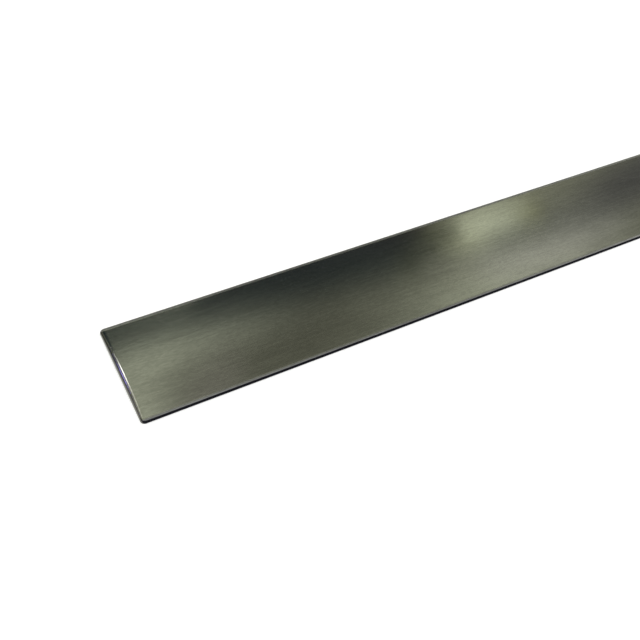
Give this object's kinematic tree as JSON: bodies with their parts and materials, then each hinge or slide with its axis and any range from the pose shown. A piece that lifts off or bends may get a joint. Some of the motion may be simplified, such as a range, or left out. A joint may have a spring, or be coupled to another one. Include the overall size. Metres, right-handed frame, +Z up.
{
  "type": "floor transition strip",
  "caption": "Long narrow stainless steel cover strip with a slightly domed brushed top, rounded edges and a flat underside, laid over the joint between two floors.",
  "frame": {"origin": "middle of the flat underside", "axes": "+X along the strip, +Y across it, +Z up out of the domed top"},
  "size_m": [0.9, 0.04, 0.0019],
  "materials": {
    "stainless": "brushed along the length, edges smooth"
  },
  "bodies": {
    "root": {"transition_strip": "stainless"}
  },
  "joints": []
}
